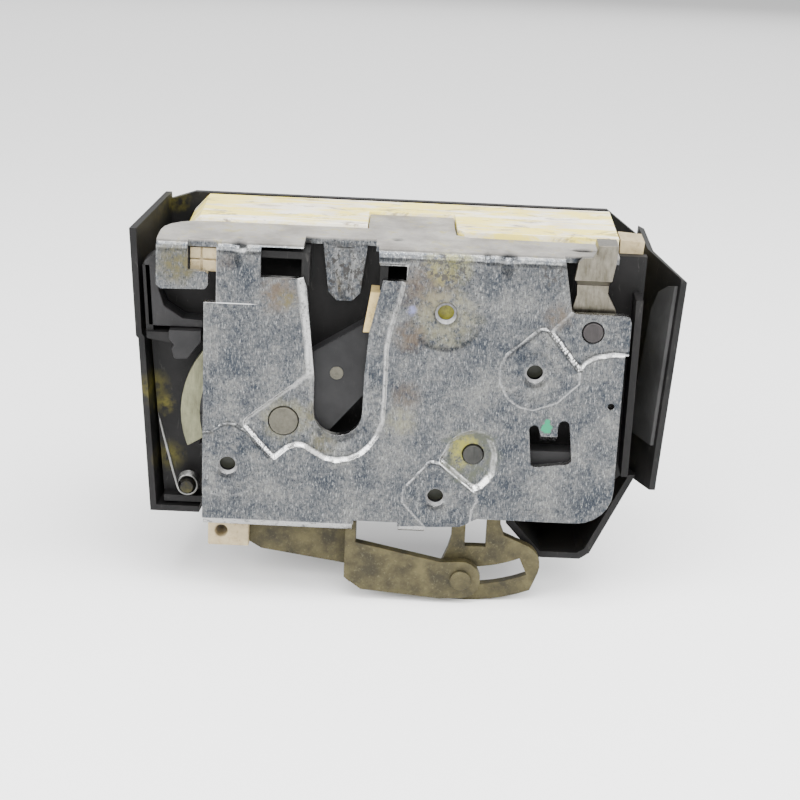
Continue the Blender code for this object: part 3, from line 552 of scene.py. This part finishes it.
def press_depth(x, z):
    """How far the press pushed the sheet in at a point, in millimetres."""
    depth = MOUTH_DEPTH * level(MOUTH_SUNK, x, z)
    depth += PAWL_DEPTH * level(PAWL_SUNK, x, z)
    depth += RIVET_DEPTH * level(RIVET_SUNK, x, z)
    depth -= BOSS_HEIGHT * level(BOSS_B, x, z) + BOSS_HEIGHT * level(BOSS_D, x, z)
    depth -= LOW_BOSS_HEIGHT * level(BOSS_C, x, z)
    if -34 < x < -4 and z > -16:
        depth += LIP_DEPTH * ridge(gap_to_line(MOUTH_EDGE, x, z), 1.7)
    ax, az = SCREW_HOLES[0]
    coin = math.hypot(x - ax, min(0.0, z - az))
    depth += COIN_DEPTH * (1 - max(0.0, min(1.0, (coin - COIN_RADIUS + 0.7) / 0.7)))
    for (hx, hz), radius in ((SCREW_HOLES[1], 6.3), (SCREW_HOLES[2], 6.6), (SCREW_HOLES[2], 9.4)):
        depth += 0.16 * ridge(math.hypot(x - hx, z - hz) - radius, 0.8)
    for hx, hz in SCREW_HOLES:
        depth += 0.35 * ridge(math.hypot(x - hx, z - hz) - SCREW_CORE, 1.1)
    if x > 28 and z < -20:
        depth -= 0.2 * ridge(math.hypot(x - 33.0, z + 4.0) - 26.0, 0.9)
    return depth * min(1.0, max(0.0, (37.0 - z) / 2.0))


def dart(x, z):
    """Stiffening darts pressed into the top fold."""
    rise = min(1.0, max(0.0, (z - FOLD_FOOT) / 4.0))
    wide = max(0.0, 1 - abs(x - 21.5) / (2.6 * max(rise, 0.05)))
    narrow = ridge(x - 16.2, 1.0) * 0.5
    strip = max(0.0, 1 - abs(x + 46.0) / (2.2 * max(rise, 0.05)))
    return rise * (wide + narrow + strip)


def slice_mesh(mesh, point, normal, faces=None):
    if faces is None:
        faces = mesh.faces[:]
        edges, verts = mesh.edges[:], mesh.verts[:]
    else:
        edges = list({edge for face in faces for edge in face.edges})
        verts = list({vert for face in faces for vert in face.verts})
    bmesh.ops.bisect_plane(mesh, geom=verts + edges + faces, plane_co=point, plane_no=normal,
                           dist=0.000002)


def crease(mesh, outline):
    """Cuts the sheet along the sides of an outline, so that its slopes start on clean lines."""
    for (x1, z1, _), (x2, z2, _) in zip(outline, outline[1:] + outline[:1]):
        low_x, high_x = (min(x1, x2) - 0.3) * MM, (max(x1, x2) + 0.3) * MM
        low_z, high_z = (min(z1, z2) - 0.3) * MM, (max(z1, z2) + 0.3) * MM
        faces = []
        for face in mesh.faces:
            middle = face.calc_center_median()
            if (low_x < middle.x < high_x and low_z < middle.z < high_z
                    and middle.y < SHEET_BACK * MM):
                faces.append(face)
        if faces:
            slice_mesh(mesh, Vector((x1 * MM, 0, z1 * MM)), Vector((z2 - z1, 0, x1 - x2)), faces)


def pressed_plate():
    piece = merged_copy("face_plate", "face_plate_pressed")
    bpy.ops.object.select_all(action="DESELECT")
    bpy.ops.mesh.primitive_cylinder_add(vertices=24, radius=1, depth=0.02,
                                        location=(0.0405, 0.0075, FLANGE_TOP * MM))
    hole = bpy.context.object
    only(hole)
    bpy.ops.transform.resize(value=(0.0034, 0.0016, 1))
    bpy.ops.object.transform_apply(location=True, rotation=True, scale=True)
    apply_modifier(piece, "BOOLEAN", object=hole, operation="DIFFERENCE", solver="EXACT")
    bpy.data.objects.remove(hole)
    round_edges(piece, 0.3)
    mesh = bmesh.new()
    mesh.from_mesh(piece.data)
    low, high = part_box("face_plate")
    for count in range(1, int((high[0] - low[0]) / (GRID * MM))):
        slice_mesh(mesh, Vector((low[0] + count * GRID * MM, 0, 0)), Vector((1, 0, 0)))
    for count in range(1, int((high[2] - low[2]) / (GRID * MM))):
        slice_mesh(mesh, Vector((0, 0, low[2] + count * GRID * MM)), Vector((0, 0, 1)))
    for count in range(1, 45):
        faces = [face for face in mesh.faces if face.calc_center_median().z > 0.0365]
        slice_mesh(mesh, Vector((0, (2.6 + count * FLANGE_GRID) * MM, 0)), Vector((0, 1, 0)), faces)
    for outline in (MOUTH_SUNK, PAWL_SUNK, RIVET_SUNK, BOSS_B, BOSS_D, BOSS_C):
        crease(mesh, outline)
    for vert in mesh.verts:
        x, y, z = (value / MM for value in vert.co)
        if y < SHEET + 0.05 and z > PLATE_FOOT:
            vert.co.y += press_depth(x, z) * MM
        if y > 9.8 and z < FLANGE_TOP - 3.0:
            spread = abs(x - TONGUE_MIDDLE) / (1.2 + 0.16 * (z - 22.0))
            vert.co.y += 0.9 * MM * max(0.0, 1 - spread * spread) * min(1.0, (z - 22.5) / 3.0)
        if z > FLANGE_TOP - 3.0 and y > 3.0:
            vert.co.z -= 0.7 * MM * ridge(math.hypot(x + 6.4, y - 11.0), 3.0)
        if z > FOLD_FOOT and y < 7.0:
            pull = dart(x, z) * 0.55 * min(1.0, (7.0 - y) / 3.0)
            vert.co.y += pull * MM
            vert.co.z -= pull * MM * min(1.0, max(0.0, (z - 35.0) / 3.0))
    mesh.to_mesh(piece.data)
    mesh.free()
    shade(piece, 50)
    finish_piece(piece, "plate", "latch_body", ("face_plate",))


# --- smaller pieces -----------------------------------------------------------------------

def pole(name, x, z, front, back, radius, sides=32):
    """A round piece along Y, made from a cylinder."""
    bpy.ops.object.select_all(action="DESELECT")
    bpy.ops.mesh.primitive_cylinder_add(vertices=sides, radius=radius * MM,
                                        depth=(back - front) * MM, rotation=(math.pi / 2, 0, 0),
                                        location=(x * MM, (front + back) / 2 * MM, z * MM))
    made = bpy.context.object
    made.name = name
    only(made)
    bpy.ops.object.transform_apply(location=True, rotation=True, scale=True)
    return made


def block(name, xs, ys, zs, radius=0.3):
    """A box with rounded edges, between its low and high sides."""
    bpy.ops.object.select_all(action="DESELECT")
    middle = [sum(side) / 2 * MM for side in (xs, ys, zs)]
    bpy.ops.mesh.primitive_cube_add(size=1, location=middle)
    made = bpy.context.object
    made.name = name
    only(made)
    made.scale = [(side[1] - side[0]) * MM for side in (xs, ys, zs)]
    bpy.ops.object.transform_apply(location=True, rotation=True, scale=True)
    round_edges(made, radius)
    shade(made)
    return made


def slab(name, outline, front, back, radius=0.3):
    """A moulded plate along Y from an outline of (x, z), with rounded edges."""
    bpy.ops.object.select_all(action="DESELECT")
    bpy.ops.mesh.primitive_circle_add(vertices=len(outline), radius=MM, fill_type="NGON")
    made = bpy.context.object
    made.name = name
    for vert, (x, z) in zip(made.data.vertices, outline):
        vert.co = (x * MM, front * MM, z * MM)
    only(made)
    bpy.ops.object.mode_set(mode="EDIT")
    bpy.ops.mesh.select_all(action="SELECT")
    bpy.ops.mesh.extrude_region_move(
        TRANSFORM_OT_translate={"value": (0, (back - front) * MM, 0)})
    bpy.ops.mesh.select_all(action="SELECT")
    bpy.ops.mesh.normals_make_consistent(inside=False)
    bpy.ops.object.mode_set(mode="OBJECT")
    round_edges(made, radius)
    shade(made)
    return made


def swap_x_and_y(piece):
    """Makes the outline that a slab was given as (x, z) one of (y, z)."""
    for vert in piece.data.vertices:
        vert.co.x, vert.co.y = vert.co.y, vert.co.x
    face_outwards(piece)
    shade(piece)


def side_mouldings():
    """Walls and blocks of the black frame seen beside the plate, and a lighter grey sheet on the
    cover's inner side wall, painted light for the light that face catches from the left.
    """
    stop = slab("left_stop", ((-63.9, 14.5), (-55.5, 14.6), (-55.5, 11.7), (-59.0, 6.9),
                              (-62.5, 6.7), (-63.2, 9.6), (-62.5, 10.4), (-63.9, 12.1)), 4.6, 10.5)
    arm = slab("left_arm", ((-70.4, 31.9), (-68.6, 33.6), (-67.0, 33.6), (-66.6, 24.5),
                            (-65.2, 20.3), (-60.4, 17.2), (-55.3, 16.9), (-55.3, 14.9),
                            (-69.4, 14.9)), 6.4, 12.0)
    for piece in (stop, arm):
        finish_piece(piece, "grey_black", "latch_body")
    # A lighter grey sheet on the inner face of the cover's side wall: painted light, standing in
    # for the light falling on that face
    painted_light_sheet = slab("cover_painted_light_sheet", ((9.0, 31.0), (12.0, 30.0), (15.5, 27.5), (17.6, 22.0),
                                 (19.5, -12.6), (9.0, -12.9)), 0.0, 1.1)
    for vert in painted_light_sheet.data.vertices:
        thick, depth, height = (value / MM for value in (vert.co.y, vert.co.x, vert.co.z))
        wall = 66.0 - (depth - 8.0) * 0.4625 - (32.5 - height) * 0.055
        vert.co = ((wall + 0.2 - thick) * MM, depth * MM, height * MM)
    face_outwards(painted_light_sheet)
    finish_piece(painted_light_sheet, "painted_light_grey", "latch_body")


def cover_ribs():
    """Stiffening ribs, screw bosses and a raised rim moulded on the back of the cover."""
    ribs = []
    for count, (xs, zs) in enumerate(COVER_RIBS):
        ribs.append(block(f"cover_rib_{count}", xs, (48.2, 50.0), zs, 0.4))
    for count, (x, z) in enumerate(COVER_SCREWS):
        boss = pole(f"cover_boss_{count}", x, z, 48.2, 48.72, 6.0, 40)
        round_edges(boss, 0.3)
        shade(boss)
        ribs.append(boss)
    rim = slab("cover_rim", ((-68.6, 37.0), (-65.4, -36.4), (27.0, -36.4), (35.4, -46.2),
                             (46.2, -46.2), (58.8, -21.6), (58.8, 32.4), (49.6, 39.4),
                             (-61.4, 39.4)), 48.3, 49.3, 0.3)
    core = slab("cover_rim_room", ((-66.2, 35.0), (-63.4, -34.6), (27.8, -34.6), (36.2, -44.4),
                                   (45.2, -44.4), (57.0, -21.2), (57.0, 31.6), (49.0, 37.6),
                                   (-60.6, 37.6)), 48.0, 49.6, 0.05)
    apply_modifier(rim, "BOOLEAN", object=core, operation="DIFFERENCE", solver="EXACT")
    bpy.data.objects.remove(core)
    shade(rim)
    ribs.append(rim)
    for piece in ribs:
        finish_piece(piece, "black", "latch_body")


def spring(node):
    piece = merged_copy(node, node + "_fine")
    apply_modifier(piece, "SUBSURF", levels=1, render_levels=1)
    only(piece)
    bpy.ops.object.shade_smooth()
    finish_piece(piece, "spring", body_of_node(node), (node,))


def threads():
    """The screw thread in each hole of the face plate, as a ridge wound round its wall."""
    for number, (x, z) in enumerate(SCREW_HOLES, 1):
        bpy.ops.object.select_all(action="DESELECT")
        bpy.ops.mesh.primitive_circle_add(vertices=3, radius=0.42 * MM, fill_type="NOTHING",
                                          rotation=(0, 0, math.pi / 2),
                                          location=((SCREW_CORE + 0.02) * MM, 0, 0))
        piece = bpy.context.object
        piece.name = f"thread_{number}"
        only(piece)
        bpy.ops.object.transform_apply(location=True, rotation=True, scale=True)
        apply_modifier(piece, "SCREW", axis="Y", screw_offset=0.7 * MM, iterations=3, steps=32,
                       render_steps=32)
        only(piece)
        bpy.ops.object.mode_set(mode="EDIT")
        bpy.ops.mesh.select_all(action="SELECT")
        bpy.ops.transform.translate(value=(x * MM, 0.1 * MM, z * MM))
        bpy.ops.mesh.normals_make_consistent(inside=False)
        bpy.ops.object.mode_set(mode="OBJECT")
        shade(piece, 50)
        finish_piece(piece, "screw", "latch_body")


def grease_plugs():
    """Old grease left in the screw holes."""
    for number, ((x, z), front) in enumerate(zip(SCREW_HOLES, (2.1, 3.2, 3.0, 3.2)), 1):
        plug = pole(f"hole_grease_{number}", x, z, front, front + 1.0, SCREW_CORE - 0.05)
        only(plug)
        bpy.ops.object.mode_set(mode="EDIT")
        bpy.ops.mesh.select_all(action="SELECT")
        bpy.ops.mesh.inset(thickness=0.9 * MM, depth=-0.25 * MM, use_individual=False)
        bpy.ops.object.mode_set(mode="OBJECT")
        shade(plug, 60)
        finish_piece(plug, "hole_grease" if number == 1 else "dark_grease", "latch_body")


def window_tab():
    """The tab folded in from the top of the pawl window, and the moulding behind it."""
    tab = slab("window_tab", ((0.1, -7.2), (2.0, -7.2), (3.6, -8.0), (5.4, -9.6), (4.4, -11.0),
                              (2.4, -9.6), (0.9, -8.9), (0.1, -8.2)), 32.6, 37.0, 0.25)
    swap_x_and_y(tab)
    finish_piece(tab, "plate", "latch_body")
    rib = block("window_moulding", (29.2, 42.0), (3.0, 8.4), (-18.5, -13.4), 0.3)
    finish_piece(rib, "grey_black", "latch_body")


def claw_jacket():
    """The claw's plastic jacket, stepped below its top edge, with the pin mark on its face."""
    piece = merged_copy("claw_jacket", "claw_jacket_fine")
    mesh = bmesh.new()
    mesh.from_mesh(piece.data)
    turn = math.radians(32.6)
    across = Vector((-math.sin(turn), 0, math.cos(turn)))
    start = Vector((-24.5 * MM, 0, 12.4 * MM))
    for shift in (0.0, -0.35):
        slice_mesh(mesh, start + across * shift * MM, across)
    for vert in mesh.verts:
        if vert.co.y < 0.0042 and (vert.co - start).dot(across) < -0.0003:
            vert.co.y += 0.4 * MM
    mesh.to_mesh(piece.data)
    mesh.free()
    round_edges(piece, 0.25)
    shade(piece)
    finish_piece(piece, "claw_plastic", "claw", ("claw_jacket",))
    spot = pole("claw_mark", -20.6, 5.0, 4.15, 4.6, 1.75)
    round_edges(spot, 0.2)
    shade(spot)
    finish_piece(spot, "rivet", "claw")


# --- stage --------------------------------------------------------------------------------

CAMERA_PITCH = math.radians(20.0)
CAMERA_ROLL = math.radians(2.6)
CAMERA_DISTANCE = 0.480
CAMERA_AIM = Vector((-0.004, 0, 0))
LENS = 84.4
SENSOR = 36
FLOOR_SIZE = 14
ROOM_LIGHT = 0.45                # strength of the even light from all round


def stage():
    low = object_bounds()[0].z
    bpy.ops.object.select_all(action="DESELECT")
    bpy.ops.mesh.primitive_plane_add(size=FLOOR_SIZE, location=(0, 0, low))
    floor = bpy.context.object
    floor.name = "floor"
    pale = Finish("pale_floor")
    pale.surface(Base_Color=(0.92, 0.92, 0.92), Roughness=0.8)
    floor.data.materials.append(pale.material)
    floor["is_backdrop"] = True


def lamp(name, size, power, place, aim):
    data = bpy.data.lights.new(name, "AREA")
    data.shape = "RECTANGLE"
    data.size, data.size_y = size
    data.energy = power
    light = bpy.data.objects.new(name, data)
    bpy.context.scene.collection.objects.link(light)
    light.location = place
    light.rotation_euler = (Vector(aim) - Vector(place)).to_track_quat("-Z", "Y").to_euler()


def lights():
    world = bpy.data.worlds.new("studio")
    bpy.context.scene.world = world
    world.use_nodes = True
    world.node_tree.nodes["Background"].inputs["Color"].default_value = (1, 1, 1, 1)
    world.node_tree.nodes["Background"].inputs["Strength"].default_value = ROOM_LIGHT
    lamp("top_soft", (0.7, 0.4), 15, (0.05, -0.28, 0.75), (0, 0, 0))
    lamp("front_soft", (0.9, 0.45), 10, (0.1, -0.75, 0.60), (0, 0, 0))
    lamp("left_soft", (0.6, 0.5), 13, (-0.68, -0.50, 0.36), (0, 0, 0))
    lamp("right_soft", (0.7, 0.6), 14, (0.78, -0.12, 0.36), (0, 0, 0))
    lamp("back_soft", (1.8, 0.8), 7, (0, 1.0, 0.42), (0, 0, 0))


def camera():
    data = bpy.data.cameras.new("camera")
    data.lens = LENS
    data.sensor_width = SENSOR
    data.clip_start = 0.01
    view = bpy.data.objects.new("camera", data)
    bpy.context.scene.collection.objects.link(view)
    back = Vector((0, -math.cos(CAMERA_PITCH), math.sin(CAMERA_PITCH)))
    view.location = CAMERA_AIM + back * CAMERA_DISTANCE
    level = Matrix.Rotation(math.pi / 2 - CAMERA_PITCH, 4, "X")
    view.rotation_euler = (level @ Matrix.Rotation(CAMERA_ROLL, 4, "Z")).to_euler()
    bpy.context.scene.camera = view


# --- the whole latch ----------------------------------------------------------------------

camera()
lights()
for node, (finish, radius) in NODE_FINISH.items():
    refined(node, finish, radius)
for node in SPRINGS:
    spring(node)
pressed_plate()
threads()
grease_plugs()
window_tab()
claw_jacket()
side_mouldings()
cover_ribs()
stage()
